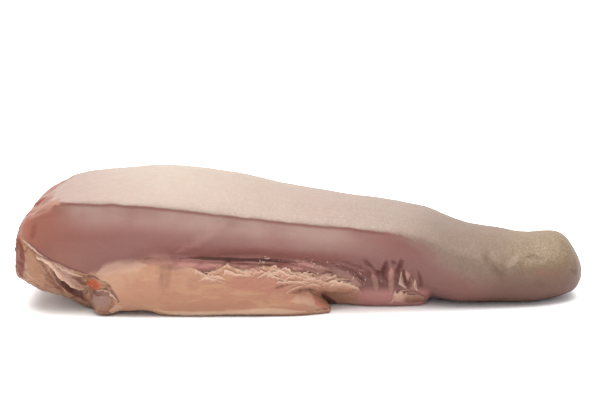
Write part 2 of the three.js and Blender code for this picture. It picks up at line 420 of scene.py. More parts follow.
# creases and ridges of the near side, repeated on the far side: path of (x, z), width, depth
nearFolds = {
    "groove over the slab": [
        ([(-74, 36), (-60, 35.6), (-44, 34.6), (-30, 34), (-18, 33.4), (-2, 32)], 1.6, 1.8),
    ],
    "wrinkles by the bridle": [
        ([(19.5, 33), (25.5, 31.5), (30, 29), (36, 27)], 1.1, 1.5),
        ([(35, 35.5), (40.5, 28.5), (45, 24), (48, 18)], 1.1, 2.2),
        ([(49.5, 34), (48.5, 27.5), (47, 20)], 1.0, 2.0),
        ([(58.5, 35), (57, 28), (56, 20)], 1.1, 2.2),
        ([(58.5, 28.5), (60.5, 20), (63, 12)], 1.0, 2.0),
        ([(64, 23), (63.5, 12)], 0.8, 1.4),
        ([(67.5, 27.5), (70, 19), (70.5, 12)], 0.8, 1.3),
        ([(52.5, 33.5), (54, 31), (55.5, 30)], 1.0, 1.4),
    ],
    "fine pleats over the slab": [
        ([(-10, 33), (2, 30), (12, 26)], 0.7, 0.6),
        ([(-2, 34), (10, 31), (20, 26.5)], 0.7, 0.7),
        ([(6, 34.5), (17, 30.5), (27, 25)], 0.7, 0.7),
        ([(14, 31), (24, 27.5), (33, 22.5)], 0.7, 0.7),
        ([(22, 28), (30, 23.5), (38, 18)], 0.7, 0.7),
        ([(40, 23), (43, 17), (44, 11)], 0.7, 0.7),
        ([(50, 20), (52, 14), (52, 9)], 0.7, 0.6),
    ],
    "soft valleys": [
        ([(-34, 62), (-48, 52), (-66, 42)], 5, 1.0),
        ([(-78, 36), (-79, 27), (-80, 15)], 2.6, 2.2),
        ([(-64, 27), (-62, 20), (-60, 12)], 3.2, 0.9),
        ([(-110, 24), (-100, 20), (-90, 19)], 4.0, 0.7),
    ],
    "raised folds": [
        ([(-92, 34), (-84, 36.5), (-77, 34.5)], 3.0, -1.6),
        ([(43, 31), (42.5, 24), (41, 17)], 2.0, -1.5),
        ([(53, 31), (52, 24), (51, 14)], 2.2, -1.8),
        ([(60, 27), (64, 18)], 1.5, -1.3),
        ([(66, 24), (67, 12)], 1.5, -1.2),
        ([(-5, 9), (5, 10), (12, 6)], 3.0, -0.8),
        ([(-84, 4), (-70, 3), (-40, 3.5), (-10, 4)], 1.6, -0.9),
    ],
    "creases of the flap": [
        ([(-6.5, 14.5), (-1, 15.2), (5, 15), (10, 11)], 0.9, 1.4),
        ([(-18, 17.5), (-10, 19.5), (-3, 21.5)], 0.7, 0.8),
    ],
    "tip": [
        ([(109, 36), (110, 31), (112.5, 27), (116, 23.5), (121, 19.5)], 2.0, 2.3),
        ([(120.5, 21.5), (124, 26), (128, 29), (131, 30.5)], 2.0, -1.6),
        ([(132, 31), (136.5, 30.5), (139.5, 30), (143, 27.5)], 0.9, 1.1),
        ([(136, 24), (146, 22), (154, 23)], 5, 1.0),
        ([(159.5, 23), (162.5, 20.5), (165, 19)], 0.9, 1.1),
        ([(137, 17.5), (141.5, 15.5), (145, 14)], 1.0, 1.0),
        ([(76, 22), (92, 17), (108, 12)], 5, 0.8),
    ],
    "root": [
        ([(-139, 22), (-134.5, 16), (-130, 10)], 2.2, 3.2),
        ([(-155, 38), (-150, 33), (-147, 26), (-143, 20)], 1.0, 1.5),
        ([(-150, 26), (-145, 19), (-138, 13)], 0.9, 1.3),
        ([(-158, 36), (-157, 28), (-153, 20)], 3.5, -1.5),
        ([(-126, 15), (-120, 15.4), (-113, 15), (-108, 11)], 0.9, 1.4),
        ([(-162, 58), (-157, 60), (-150, 63.5), (-143, 66)], 1.4, 1.3),
    ],
}


def tornFibres(points):
    # ridges that run along the tongue, as pulled fat does
    return np.array([
        noise.fractal(Vector((p[0] / 9, p[1] / 3, p[2] / 2.2)), 1.0, 2.0, 3)
        for p in points.tolist()
    ])


def farPath(path):
    # the far side is like the near one, a little towards the root
    return [(x - 5, z + 0.5) for x, z in path]


def shapeTongue(form):
    flat = ease(form.at[:, 2], 0.5, 5)  # nothing moves where it rests
    for i, (size, height) in enumerate(tongue["lumps"]):
        form.push(height * flat * blotches(form.at, size, 2, 3.1 + i))
    form.refresh()
    near = (form.at[:, 1] < -3) & (form.normal[:, 1] < 0.35)
    far = (form.at[:, 1] > 3) & (form.normal[:, 1] > -0.35)
    for name, group in nearFolds.items():
        lip = 0 if name == "groove over the slab" else 0.2
        for path, width, depth in group:
            form.stroke(path, width, depth, near, lip=lip)
            form.stroke(farPath(path), width, depth, far, lip=lip)
    form.refresh()
    return flat


def markTongue(form):
    # marks are distances in mm, so that their edges stay sharp between the points
    x, y, z = form.at.T
    face = tongue["rootFace"]
    ring = np.hypot(y / face["halfWidth"], (z - face["height"]) / face["halfHeight"])
    aboveFat = z - np.where(y < 0, line(tongue["fatTop"], x), line(tongue["farFatTop"], x))
    dist, side, _ = fromPath(x, z, tongue["skinEnd"])
    form.marks = {
        "aboveEdge": z - line(tongue["backEdge"], x),
        "aboveFat": aboveFat,
        "inCut": np.where(x < face["from"], (1 - ring) * face["halfHeight"], -20),
        "pastSkin": np.where(x < -100, -dist * side, -20),
    }


def tearTongue(form, flat):
    x, y = form.at.T[:2]
    marks = form.marks
    fibres = tornFibres(form.at)
    rough = blotches(form.at, 4.5, 3, 9.3)
    # torn fat stands out in a ragged ledge under the smooth side, but not where it is whole
    ragged = -marks["aboveFat"] + 1.8 * rough
    onSlab = ease(x, -70, -54) * (1 - ease(x, 24, 36)) * (np.abs(y) > 14)
    form.push(tongue["ledge"] * ease(ragged, -0.4, 0.8) * (1 - ease(ragged, 2, 9)) * onSlab * flat)
    below = -marks["aboveFat"]
    torn = ease(below, -2, 2) * (1 - ease(below, 10, 18)) * ease(x, -124, -60)
    form.push(tongue["pulled"] * fibres * torn * (np.abs(y) > 14) * (x < 34) * flat)
    # the cut face of the root, and the fat that the skin has been torn from
    cut = ease(marks["inCut"], -1, 2)
    bundles = blotches(form.at, 8, 2, 4.2)
    grainy = tongue["cutFibres"] * fibres + tongue["cutBundles"] * bundles
    form.push((grainy - tongue["cutDepth"]) * cut * flat)
    bare = ease(marks["pastSkin"] + 1.5 * rough, -0.5, 0.8) * (1 - cut) * (1 - ease(x, -114, -108))
    lumpy = tongue["bareLumps"] * blotches(form.at, 6, 3, 5.5)
    form.push((lumpy - tongue["bareDepth"]) * bare * flat)


# colour marks of the near side, most of them repeated on the far side, some of them painted shade
# in creases and the groove, painted highlights on folds and painted glints: name, path of (x, z),
# width, strength
nearMarks = [
    ("creamTop", [(-118, 27), (-109.5, 30.5), (-98, 32), (-90, 33)], 7, 0.8),
    ("salmon", [(-44, 22), (-32, 21), (-20, 19), (-8, 16)], 8, 0.9),
    ("membrane", [(-153, 37), (-145, 34.5), (-141.5, 31), (-138.5, 26.5), (-132, 20), (-127, 15)],
     3, 0.8),
    ("membrane", [(-150, 37), (-143, 34), (-137, 29), (-130, 25)], 3.5, 0.9),
    ("purple", [(-143, 26), (-138, 20), (-133, 14), (-129, 8)], 5, 1),
    ("purple", [(-136, 27), (-130, 22), (-126, 18)], 3.5, 0.5),
    ("creamLobe", [(-158, 40), (-156.5, 34), (-155, 26), (-152, 17)], 6.5, 1),
    ("creamLobe", [(-156, 16), (-148, 13), (-140, 10)], 3.5, 0.7),
    # crease marks here and below are painted shade in the folds and creases of the root and the slab
    ("crease", [(-163, 47), (-157, 44.5), (-148, 38), (-140, 34), (-131, 29.5), (-122, 26)],
     1.3, 0.75),
    ("crease", [(-155, 38), (-150, 33), (-147, 26), (-143, 20)], 1.2, 0.6),
    ("crease", [(-150, 26), (-145, 19), (-138, 13)], 1.2, 0.6),
    ("crease", [(-125, 24.5), (-121, 25), (-117, 23.5)], 1.4, 0.8),
    ("orange", [(-125, 19), (-121, 19), (-117, 19.5)], 5.2, 1),
    ("gland", [(-122, 13), (-117, 11), (-113, 8)], 7.5, 1),
    ("crease", [(-111, 18), (-108, 14), (-106, 9)], 1.6, 0.8),
    ("creamLump", [(-112, 4), (-109, 4), (-105, 7)], 4, 1),
    ("brownCut", [(-168, 46), (-165, 41), (-164, 33), (-165, 25), (-163, 21)], 4.5, 1),
    ("crease", [(-163, 42), (-161.5, 38), (-161.5, 33), (-163, 27)], 1.4, 0.8),
    ("warmSkin", [(-166, 46), (-162, 52), (-157, 57)], 9, 0.9),
    ("darkRed", [(-154, 56), (-155, 51), (-156, 47)], 4, 0.7),
    ("pleat", [(-92, 34), (-84, 36), (-75, 35)], 6, 0.8),
    ("pleat", [(-78, 37), (-79, 28), (-80, 17)], 7, 0.6),
    ("strip", [(-86, 34), (-62, 33), (-44, 33), (-24, 33), (-6, 31), (16, 27)], 6, 0.8),
    ("paleLip", [(-86, 5), (-74, 2.5), (-59, 2), (-40, 2.5), (-20, 4), (2, 3)], 3.2, 0.8),
    ("toe", [(7, 11), (12, 8), (17, 3)], 5, 0.9),
    ("creamLump", [(-6, 10), (0, 10.5), (5, 9), (8, 6)], 3.6, 0.6),
    ("crease", [(8, 3.2), (12, 3.8), (16, 2.6)], 0.9, 0.7),
    # painted shade in the groove over the slab: a dark line, its darkest core and a soft shade above it
    ("crease", [(-70, 36), (-60, 35.8), (-44, 34.9), (-30, 34.3), (-16, 33.6), (0, 32)], 1.7, 1),
    ("deepShade", [(-66, 36), (-54, 35.5), (-40, 34.9), (-26, 34.1), (-12, 33.2)], 1.3, 0.9),
    ("shade", [(-74, 37.4), (-44, 36.2), (-16, 35), (0, 33.4)], 3, 0.6),
    # painted highlights on a band across the side and on raised folds
    ("foldHighlight", [(-72, 40), (-56, 50), (-42, 60)], 8, 0.38),
    ("foldHighlight", [(41.5, 23), (43.5, 17), (44.5, 11)], 3.0, 1),
    ("foldHighlight", [(52.5, 28), (53, 18), (53, 9)], 3.2, 1),
    ("foldHighlight", [(61, 26), (65, 16), (67.5, 9)], 2.6, 1),
    ("foldHighlight", [(4, 28), (16, 25), (26, 21.5), (35, 15)], 6, 0.8),
    # painted glints of wetness, in specks near the torn fat
    ("wetGlints", [(-30, 34), (-12, 33), (11, 28.5), (34.5, 20.5), (48, 16)], 7, 1),
    ("shade", [(138, 24), (148, 21), (156, 22)], 7, 0.4),
]

# marks on the crest of the root end: path of (x, y), width, strength
crestMarks = [
    ("redFold", [(-163, 8), (-159.5, 1.5), (-155.5, -5.5), (-150, -14), (-146, -19)], 5, 1),
    ("peachLip", [(-160, -22), (-156.5, -25.5), (-152, -28.5), (-147.5, -31), (-140, -39)], 5.5, 1),
    ("peachLip", [(-162, -8), (-158, -14), (-153, -20)], 4, 0.7),
    ("peachLip", [(-158, 22), (-152, 28), (-145, 34), (-139, 39)], 5, 0.9),
    ("redFold", [(-162, 12), (-157, 18), (-151, 23)], 4, 0.7),
]

# how strongly each painted mark covers what is under it, in the order they are laid down
markCover = {
    "creamTop": 0.6, "salmon": 0.8, "warmSkin": 0.8, "darkRed": 0.7, "pleat": 0.6, "paleLip": 0.8,
    "toe": 0.8, "shade": 0.75, "foldHighlight": 0.75, "peachLip": 0.85, "redFold": 0.9,
    "creamLobe": 0.9, "brownCut": 0.95, "purple": 0.9, "gland": 0.9, "creamLump": 0.9,
    "membrane": 0.7, "orange": 0.9, "crease": 0.75, "deepShade": 0.85,
}


def paintTongue(form):
    y, z = form.at.T[1:]
    sideways = ease(np.abs(form.normal[:, 1]), 0.15, 0.3)
    near = ease(-y, 2, 14) * sideways
    far = ease(y, 2, 14) * sideways
    bare = ease(form.marks["pastSkin"], -1, 0)
    soft = ("strip", "pleat", "warmSkin", "darkRed", "shade", "salmon", "creamTop", "foldHighlight",
            "wetGlints")
    underSkin = ("membrane", "purple", "creamLobe", "gland", "orange")
    nearOnly = ("strip", "pleat")
    overCrest = ("brownCut",)  # this carries on round the end of the root
    for name, path, width, strength in nearMarks:
        shown = bare if name in underSkin else 1
        core = 0 if name in soft else 0.3
        here = ease(-y, -16, 0) if name in overCrest else near * shown
        form.paint(name, path, width, strength, here, soft=core)
        if name not in nearOnly:
            form.paint(name, farPath(path), width, strength, far * shown, soft=core)
    for name, path, width, strength in crestMarks:
        form.paint(name, path, width, strength, ease(z, 50, 56), plane=(0, 1), soft=0.2)
    # painted shadow deep in the narrow gap by the toe, kept off the toe's own face
    deepShade = tongue["deepShade"]
    inside = ease(y, -deepShade["depth"], 4 - deepShade["depth"]) * (y < 0)
    form.paint("deepShade", deepShade["path"], deepShade["width"], 1, inside, fade=0.05)
    # painted shade along the creases of the wrinkles, the fine pleats and the flap: a dark core and a
    # wider soft shade
    for group, strength in (("wrinkles by the bridle", 0.9), ("fine pleats over the slab", 0.3),
                            ("creases of the flap", 0.8)):
        for path, width, _ in nearFolds[group]:
            for side, there in ((near, path), (far, farPath(path))):
                form.paint("crease", there, width * 0.8, strength, side, fade=0.4)
                form.paint("shade", there, width * 2.2, strength * 0.45, side, soft=0, fade=0.3)


def sculptTongue(piece):
    form = Sculpt(piece.data)
    flat = shapeTongue(form)
    markTongue(form)
    tearTongue(form, flat)
    form.refresh()
    low, high = (np.array(corner) / mm for corner in cadBox)
    form.at = np.clip(form.at, low, high)
    paintTongue(form)
    form.save()


# light on what faces up, on the side, low on the side, and in the hollow by the bridle
onTop = (3.04, 3.10, 3.20)
onSide = (2.26, 2.52, 2.58)
onLow = (1.80, 1.82, 1.82)
inHollow = (1.02, 1.02, 1.12)

palette = {
    # colours along the rough back
    "back": [(-170, seen(196, 140, 118, onTop)), (-156, seen(202, 148, 128, onTop)),
             (-146, seen(216, 174, 160, onTop)), (-132, seen(226, 196, 186, onTop)),
             (-108, seen(235, 212, 197, onTop)),
             (-84, seen(239, 219, 202, onTop)), (-60, seen(236, 215, 198, onTop)),
             (-30, seen(225, 200, 185, onTop)), (0, seen(219, 194, 181, onTop)),
             (30, seen(204, 178, 165, onTop)), (60, seen(200, 177, 162, onTop)),
             (84, seen(172, 146, 132, onTop)), (108, seen(167, 139, 119, onTop)),
             (130, seen(170, 142, 116, onTop)), (150, seen(176, 150, 119, onTop)),
             (162, seen(160, 130, 100, onTop)), (172, seen(144, 111, 84, onTop))],
    # along the smooth side
    "side": [(-170, seen(170, 110, 90, onSide)), (-150, seen(166, 106, 86, onSide)),
             (-132, seen(160, 110, 96, onSide)), (-117, seen(156, 108, 98, onSide)),
             (-96, seen(157, 110, 102, onSide)),
             (-72, seen(163, 116, 110, onSide)), (-48, seen(152, 104, 98, onSide)),
             (-24, seen(156, 107, 102, onSide)), (0, seen(160, 112, 107, onSide)),
             (48, seen(154, 110, 105, onSide)), (72, seen(152, 110, 104, onSide)),
             (96, seen(144, 103, 94, onSide)), (120, seen(130, 95, 82, onSide)),
             (142, seen(129, 96, 79, onSide)), (172, seen(125, 92, 72, onSide))],
    # painted reflection: a pale sheen under the edge of the back
    "sheen": seen(193, 165, 155, onSide),
    "ruddy": seen(158, 100, 92, onSide),
    "shadowed": seen(138, 88, 80, onSide),
    # painted shadow: a thin dark line under the overhanging edge of the back
    "edgeShadowLine": seen(138, 84, 74, onSide),
    "lowTip": seen(120, 85, 72, onSide),
    "mauve": seen(148, 98, 94, inHollow),
    "edgePink": seen(216, 182, 172, onTop),
    "backBlush": seen(208, 168, 154, onTop),
    "papilla": seen(240, 224, 206, onTop),
    "tipPapilla": seen(218, 196, 154, onTop),
    "tipShade": seen(134, 108, 86, onTop),
    "fat": [(-170, seen(190, 148, 124, onLow)), (-118, seen(206, 160, 128, onLow)),
            (-90, seen(198, 150, 120, onLow)), (-60, seen(192, 142, 113, onLow)),
            (-30, seen(184, 128, 104, onLow)), (-8, seen(188, 136, 114, onLow)),
            (6, seen(190, 141, 119, onLow)), (24, seen(196, 144, 116, onLow)),
            (40, seen(180, 128, 110, onLow)),
            (172, seen(150, 104, 94, onLow))],
    "deepFat": seen(188, 134, 106, onLow),
    "blush": seen(180, 120, 98, onLow),
    "yellowFat": seen(206, 162, 120, onLow),
    "muscle": seen(136, 70, 54, onLow),
    "paleMuscle": seen(172, 104, 80, onLow),
    "septum": seen(214, 168, 134, onLow),
    # the next two are pale fat with a painted highlight, along the torn edge of the slabs and along the
    # free edges of the tears
    "paleFatHighlight": seen(232, 196, 170, onLow),
    "tornRimHighlight": seen(238, 200, 172, onLow),
    "membrane": seen(192, 150, 134, onLow),
    "purple": seen(98, 50, 42, onLow),
    "gland": seen(160, 122, 110, onLow),
    "orange": seen(206, 104, 66, onLow),
    "skinCut": seen(160, 90, 58, onLow),
    "brownCut": seen(124, 54, 26, onLow),
    "warmSkin": seen(178, 112, 84, onSide),
    "darkRed": seen(144, 76, 64, onSide),
    "creamLobe": seen(172, 126, 96, onLow),
    "creamLump": seen(206, 164, 136, onLow),
    "creamTop": seen(220, 180, 156, onLow),
    "salmon": seen(184, 124, 102, onLow),
    "rootTissue": seen(140, 92, 70, onLow),
    "bareFat": seen(180, 134, 104, onLow),
    "strip": seen(172, 124, 119, inHollow),
    "paleLip": seen(220, 184, 156, onLow),
    "toe": seen(184, 118, 98, onLow),
    "redFold": seen(184, 108, 84, onTop),
    "peachLip": seen(212, 156, 128, onTop),
    # painted shade in creases, deepest in the groove and the narrow gap by the toe, and softer around
    # them
    "crease": seen(110, 58, 50, onLow),
    "deepShade": seen(84, 38, 30, onLow),
    "shade": seen(146, 94, 86, onLow),
    # painted highlight on raised folds and on a band across the side
    "foldHighlight": seen(196, 148, 134, onLow),
    # painted glints of wetness
    "wetGlint": seen(244, 212, 190, onLow),
    "pleat": seen(176, 124, 110, onLow),
    "rag": seen(220, 166, 150, onLow),
    "ragShade": seen(140, 86, 66, onLow),
    "bridle": seen(158, 108, 107, inHollow),
}


# how the surfaces take the light: the whole tongue, and the wetter torn edges
fleshGloss = {"IOR": 1.4, "Subsurface Weight": 0.12, "Subsurface Radius": (1.0, 0.35, 0.2),
              "Subsurface Scale": 3 * mm, "Coat Weight": 0.08, "Coat Roughness": 0.3,
              "Specular IOR Level": 0.32}
tornGloss = {"IOR": 1.4, "Roughness": 0.32, "Specular IOR Level": 0.4, "Subsurface Weight": 0.15,
             "Subsurface Radius": (1.0, 0.4, 0.25), "Subsurface Scale": 2 * mm, "Coat Weight": 0.3,
             "Coat Roughness": 0.15}


def fleshMaterial():
    s = Shader("tongue flesh")
    x, z = s.axis("X"), s.axis("Z")
    aboveEdge, aboveFat, inCut = s.mark("aboveEdge"), s.mark("aboveFat"), s.mark("inCut")
    broad = s.noise(38, 3, 0.5)
    mottle = s.noise(9, 4, 0.6, 0.6)
    fine = s.noise(1.6, 3, 0.6)
    grain = s.noise(0.7, 2, 0.6)

    # towards the tip the back runs into the side without a line
    tipward = s.step(x, 36 * mm, 84 * mm)
    wavy = aboveEdge + (mottle - 0.5) * (1.2 + tipward * 9)
    back = s.step(wavy, -0.6 - tipward * 10, 0.6 + tipward * 11)
    backColour = s.along(palette["back"])
    backColour = s.mix(s.step(mottle, 0.4, 0.75, 0, 0.18), backColour, palette["backBlush"])
    nearEdge = s.step(aboveEdge, 14, 0, 0, 0.5) * (1 - tipward)
    backColour = s.mix(nearEdge * s.step(x, 60 * mm, 10 * mm), backColour, palette["edgePink"])
    papillae = s.step(fine, 0.45, 0.65, 0, 0.3) * (1 - tipward * 0.6)
    backColour = s.mix(papillae, backColour, palette["papilla"])
    sideColour = s.along(palette["side"])
    ruddy = s.step(s.noise(24, 3, 0.5, 0.4, (1.6, 1, 1), 9), 0.44, 0.62, 0, 0.35)
    sideColour = s.mix(ruddy, sideColour, palette["ruddy"])
    sideColour = s.mix(s.step(broad, 0.42, 0.66, 0, 0.35), sideColour, palette["shadowed"])
    # painted reflection: a pale sheen in a band under the edge of the back
    underEdge = s.step(wavy, -20, -3) * s.step(x, -146 * mm, -126 * mm) * s.step(x, 60 * mm, 10 * mm)
    sideColour = s.mix(underEdge * s.step(broad, 0.3, 0.6, 0.4, 0.95), sideColour, palette["sheen"])
    colour = s.mix(back, sideColour, backColour)
    # painted shadow: a thin dark line under the overhanging edge of the back
    edgeShadowMask = s.step(wavy, -2.6, -0.5) * s.step(wavy, 0.5, -0.3) * (1 - tipward)
    edgeShadowMask = edgeShadowMask * s.step(x, -150 * mm, -138 * mm)
    colour = s.mix(edgeShadowMask * 0.75, colour, palette["edgeShadowLine"])

    lowTip = s.step(x, 96 * mm, 124 * mm) * s.step(z, 34 * mm, 11 * mm)
    colour = s.mix(lowTip * 0.85, colour, palette["lowTip"])

    # yellowish papillae on the tip
    tip = s.step(x, 112 * mm, 134 * mm) * s.step(z, 22 * mm, 33 * mm)
    colour = s.mix(tip * s.step(grain, 0.46, 0.62, 0, 0.55), colour, palette["tipPapilla"])
    colour = s.mix(tip * s.step(fine, 0.55, 0.4, 0, 0.3), colour, palette["tipShade"])

    stripColour = s.mix(s.step(s.noise(7, 3, 0.6, 0.5, (2, 1, 1), 17), 0.5, 0.66), palette["strip"],
                        palette["mauve"])
    strip = s.step(s.mark("strip") + (mottle - 0.5) * 0.5, 0.1, 0.9, 0, 0.85)
    colour = s.mix(strip, colour, stripColour)

    # cream fat of the slabs: its edge is ragged along the torn part and soft where it is whole
    whole = s.step(x, -58 * mm, -74 * mm)
    ragged = aboveFat + (s.noise(3.2, 4, 0.65) - 0.5) * (5 - whole * 3.5)
    slabLength = s.step(x, -129 * mm, -123 * mm) * s.step(x, 40 * mm, 34 * mm)
    fat = s.step(ragged, 0.5 + whole * 3.5, -0.5 - whole * 2) * slabLength
    fatColour = s.along(palette["fat"])
    fatColour = s.mix(s.step(aboveFat, -4, -16, 0, 0.75) * s.step(x, 8 * mm, -4 * mm), fatColour,
                      palette["deepFat"])
    fatColour = s.mix(s.step(mottle, 0.48, 0.7, 0, 0.45), fatColour, palette["blush"])
    streaks = s.step(s.noise(5, 4, 0.6, 0.6, (4, 1, 1), 23), 0.5, 0.64, 0, 0.45)
    fatColour = s.mix(streaks, fatColour, palette["yellowFat"])
    # paler along the ragged torn edge: pale fat with a painted highlight
    rim = s.step(ragged, -3.0, -0.6) * s.step(ragged, 0.4, -0.4) * (1 - whole)
    fatColour = s.mix(rim * s.step(fine, 0.4, 0.6, 0.2, 0.8), fatColour, palette["paleFatHighlight"])
    colour = s.mix(fat, colour, fatColour)

    # the bridle under the tongue, between the slab and the tip
    bridle = s.step(z, 15 * mm, 9 * mm) * s.step(x, 28 * mm, 38 * mm) * s.step(x, 78 * mm, 74 * mm)
    colour = s.mix(bridle * 0.8, colour, palette["bridle"])

    # torn fat and membranes at the root, where the skin has gone
    bare = s.mark("pastSkin") + (s.noise(3, 4, 0.65, shift=2) - 0.5) * 5
    tissue = s.mix(s.step(s.noise(5, 5, 0.65, 1.0, (1.6, 1, 1), 6), 0.4, 0.62),
                   palette["rootTissue"], palette["bareFat"])
    colour = s.mix(s.step(bare, -0.3, 0.5) * s.step(x, -107 * mm, -111 * mm), colour, tissue)

    # the cut root: muscle in bundles, with fat between them and a rim of skin
    cutEdge = inCut + (s.noise(4, 3, 0.6, shift=7) - 0.5) * 4
    bundle = s.noise(11, 4, 0.55, 0.7, (1, 1.5, 0.8), 11)
    septum = s.step(abs(bundle - 0.5), 0.04, 0.008)
    cutColour = s.mix(s.step(s.noise(15, 3, 0.5, shift=15), 0.42, 0.6), palette["muscle"],
                      palette["paleMuscle"])
    cutColour = s.mix(s.step(fine, 0.42, 0.62, 0, 0.35), cutColour, palette["deepFat"])
    cutColour = s.mix(septum * 0.75, cutColour, palette["septum"])
    cutColour = s.mix(s.step(cutEdge, 4.5, 1), cutColour, palette["skinCut"])
    colour = s.mix(s.step(cutEdge, -0.4, 0.8), colour, cutColour)

    for name, cover in markCover.items():
        mark = s.mark(name)
        torn = s.step(mark + (mottle - 0.5) * 0.6, 0.15, 0.8, 0, cover)
        colour = s.mix(torn * s.step(mark, 0.02, 0.1), colour, palette[name])
    # painted glints of wetness: pale specks near the torn fat
    wetGlint = s.step(s.noise(2.0, 1, 0.5, shift=21), 0.66, 0.7) * s.step(s.mark("wetGlints"), 0.1, 0.5)
    colour = s.mix(wetGlint * 0.85, colour, palette["wetGlint"])

    rough = 0.52 - fat * 0.12 + (fine - 0.5) * 0.2
    hairs = s.bump(s.noise(0.9, 2, 0.6), 0.18)
    pores = s.bump(fine * (0.4 + back * 0.6), 0.34, hairs)
    stringy = s.noise(2.4, 4, 0.65, 0.8, (2.4, 1, 1), 5)
    fibre = s.bump(stringy * (fat * 0.8 + s.step(cutEdge, 0, 1) * 0.5 + 0.1), 0.7, pores)
    return s.close(fleshGloss, {"Base Color": colour, "Roughness": rough, "Normal": fibre})


flesh = tongueBlank()
print("blank", len(flesh.data.vertices), "points")
sculptTongue(flesh)
flesh.data.materials.clear()
flesh.data.materials.append(fleshMaterial())
flesh.data.shade_smooth()
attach(flesh, "root")
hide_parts("beef_tongue")
print("tongue sculpted")

# Each is rooted in the flesh along a path of (x, z) and free along its other side.
# rise: how far it stands, towards: the way its free edge points in (x, z), lean: how far that
# edge stands away from the flesh, teeth: how ragged it is, peak: where along it it is highest,
# bow: low for a broad flap and high for a point, tone: its colour in the palette
tornEdges = {
    "fringe_start": {"path": [(-58, 25), (-52, 24.5), (-45, 25)], "rise": 4.0, "teeth": 0.8},
    "fringe_peak": {"path": [(-45, 26), (-38, 25), (-30, 26)], "rise": 5.6, "teeth": 0.15,
                    "towards": (-0.15, 1), "peak": 0.1, "bow": 0.8},
    "fringe_spike": {"path": [(-32.5, 26), (-29.5, 25.5), (-27, 25.5)], "rise": 5.4, "teeth": 0,
                     "towards": (-0.7, 1), "peak": 0.4, "bow": 1},
    "fringe_middle": {"path": [(-28, 26.5), (-22, 27), (-13, 26)], "rise": 5.0, "teeth": 0.6,
                      "towards": (-0.3, 1), "peak": 0.3},
    "fringe_long": {"path": [(-19, 27), (-8, 24.5), (2, 23)], "rise": 4.4, "teeth": 0.6,
                    "towards": (-0.3, 1), "peak": 0.3},
    "fringe_low": {"path": [(-15, 21), (-5, 20.5), (6, 20)], "rise": 3.6, "teeth": 0.6,
                   "towards": (-0.4, 1), "peak": 0.3},
    "fringe_turn": {"path": [(1, 22.5), (8, 20), (15, 19)], "rise": 4.2, "teeth": 0.6, "peak": 0.4},
    "slab_end": {"path": [(12, 17.5), (20, 15.5), (27, 13.5), (34, 11)], "rise": 6.5, "teeth": 0.3,
                 "towards": (0.15, 1), "peak": 0.45, "bow": 0.35},
    "slab_corner": {"path": [(28, 8), (31, 11), (33, 15)], "rise": 2.6, "teeth": 0.6,
                    "towards": (1, 0.2)},
    "sliver": {"path": [(-9, 14.5), (-4, 16.5), (1, 18)], "rise": 2.0, "teeth": 0.3},
    # these two flaps take the colour of the painted highlight on raised folds
    "pleat_flap": {"path": [(59, 25), (60.5, 18.5), (63, 12)], "rise": 3.8, "teeth": 0.1,
                   "towards": (-1, -0.3), "peak": 0.7, "bow": 0.8, "tone": "foldHighlight"},
    "pleat_flap_low": {"path": [(67, 20), (68.5, 15), (69.5, 10.5)], "rise": 2.6, "teeth": 0.2,
                       "towards": (-1, -0.2), "peak": 0.7, "tone": "foldHighlight"},
    "bridle_rag": {"path": [(54, 4.5), (58, 2.4), (66, 1.6), (75, 2)], "rise": 9.5, "teeth": 0.25,
                   "peak": 0.3, "bow": 0.3, "lean": 0.2, "tone": "rag"},
    "bridle_rag_upper": {"path": [(56, 8), (62, 9.5), (71, 9.5)], "rise": 3.6, "teeth": 0.5,
                         "towards": (-0.3, 1), "peak": 0.3, "tone": "rag"},
    "bridle_rag_left": {"path": [(52.5, 2.5), (56, 4.5), (60, 8)], "rise": 2.8, "teeth": 0.5,
                        "towards": (-0.5, 0.7), "tone": "rag"},
    "root_membrane": {"path": [(-153, 38), (-145, 36), (-141, 32), (-137.5, 27), (-132, 20.5),
                               (-127, 15.5)], "rise": 4.2, "teeth": 0.12, "towards": (-0.5, -0.75),
                      "lean": 0.6, "bow": 0.3, "tone": "membrane"},
    "root_membrane_upper": {"path": [(-147, 36.5), (-140, 32.5), (-133, 28), (-127, 24.5)], "rise": 2.4,
                            "teeth": 0.5, "towards": (-0.4, -0.9), "tone": "membrane"},
    "root_rag": {"path": [(-163, 46), (-156, 43.5), (-149, 38)], "rise": 2.6, "teeth": 0.35,
                 "towards": (0.1, -1), "tone": "membrane"},
    "gland_rag": {"path": [(-120, 15.5), (-115, 16.8), (-110, 15.8), (-107, 11)], "rise": 2.2,
                  "teeth": 0.6, "towards": (-0.4, -1), "tone": "membrane"},
}

# the same kind of tears on the far side, a little along and not so many
farTears = {
    "far_fringe_start": {"path": [(-72, 27), (-62, 26.5), (-52, 26)], "rise": 4.2, "teeth": 0.7},
    "far_fringe_middle": {"path": [(-50, 26.5), (-38, 26), (-26, 25.5)], "rise": 5, "teeth": 0.6,
                          "peak": 0.3},
    "far_fringe_long": {"path": [(-28, 26), (-14, 23.5), (-2, 21)], "rise": 4.2, "teeth": 0.7,
                        "peak": 0.4},
    "far_slab_end": {"path": [(2, 20), (12, 18), (24, 14)], "rise": 4.6, "teeth": 0.5, "bow": 0.4},
    "far_membrane": {"path": [(-156, 40), (-147, 37), (-140, 30), (-133, 20)], "rise": 4,
                     "teeth": 0.4, "towards": (-0.5, -0.75), "lean": 0.6, "tone": "membrane"},
}

# small shreds between the big tears: how many on each side, and the ranges they are drawn from,
# in mm where they are lengths
shreds = {"near": 22, "far": 24, "seed": 5, "x": (-56, 32), "down": (0.5, 8.5), "length": (5, 15),
          "rise": (2.4, 5.0), "turn": (-0.4, 0.15), "towards": (-1.1, 0.6), "peak": (0.12, 0.7),
          "teeth": (0.1, 0.4), "bow": (0.7, 1.2), "lean": (0.05, 0.18)}


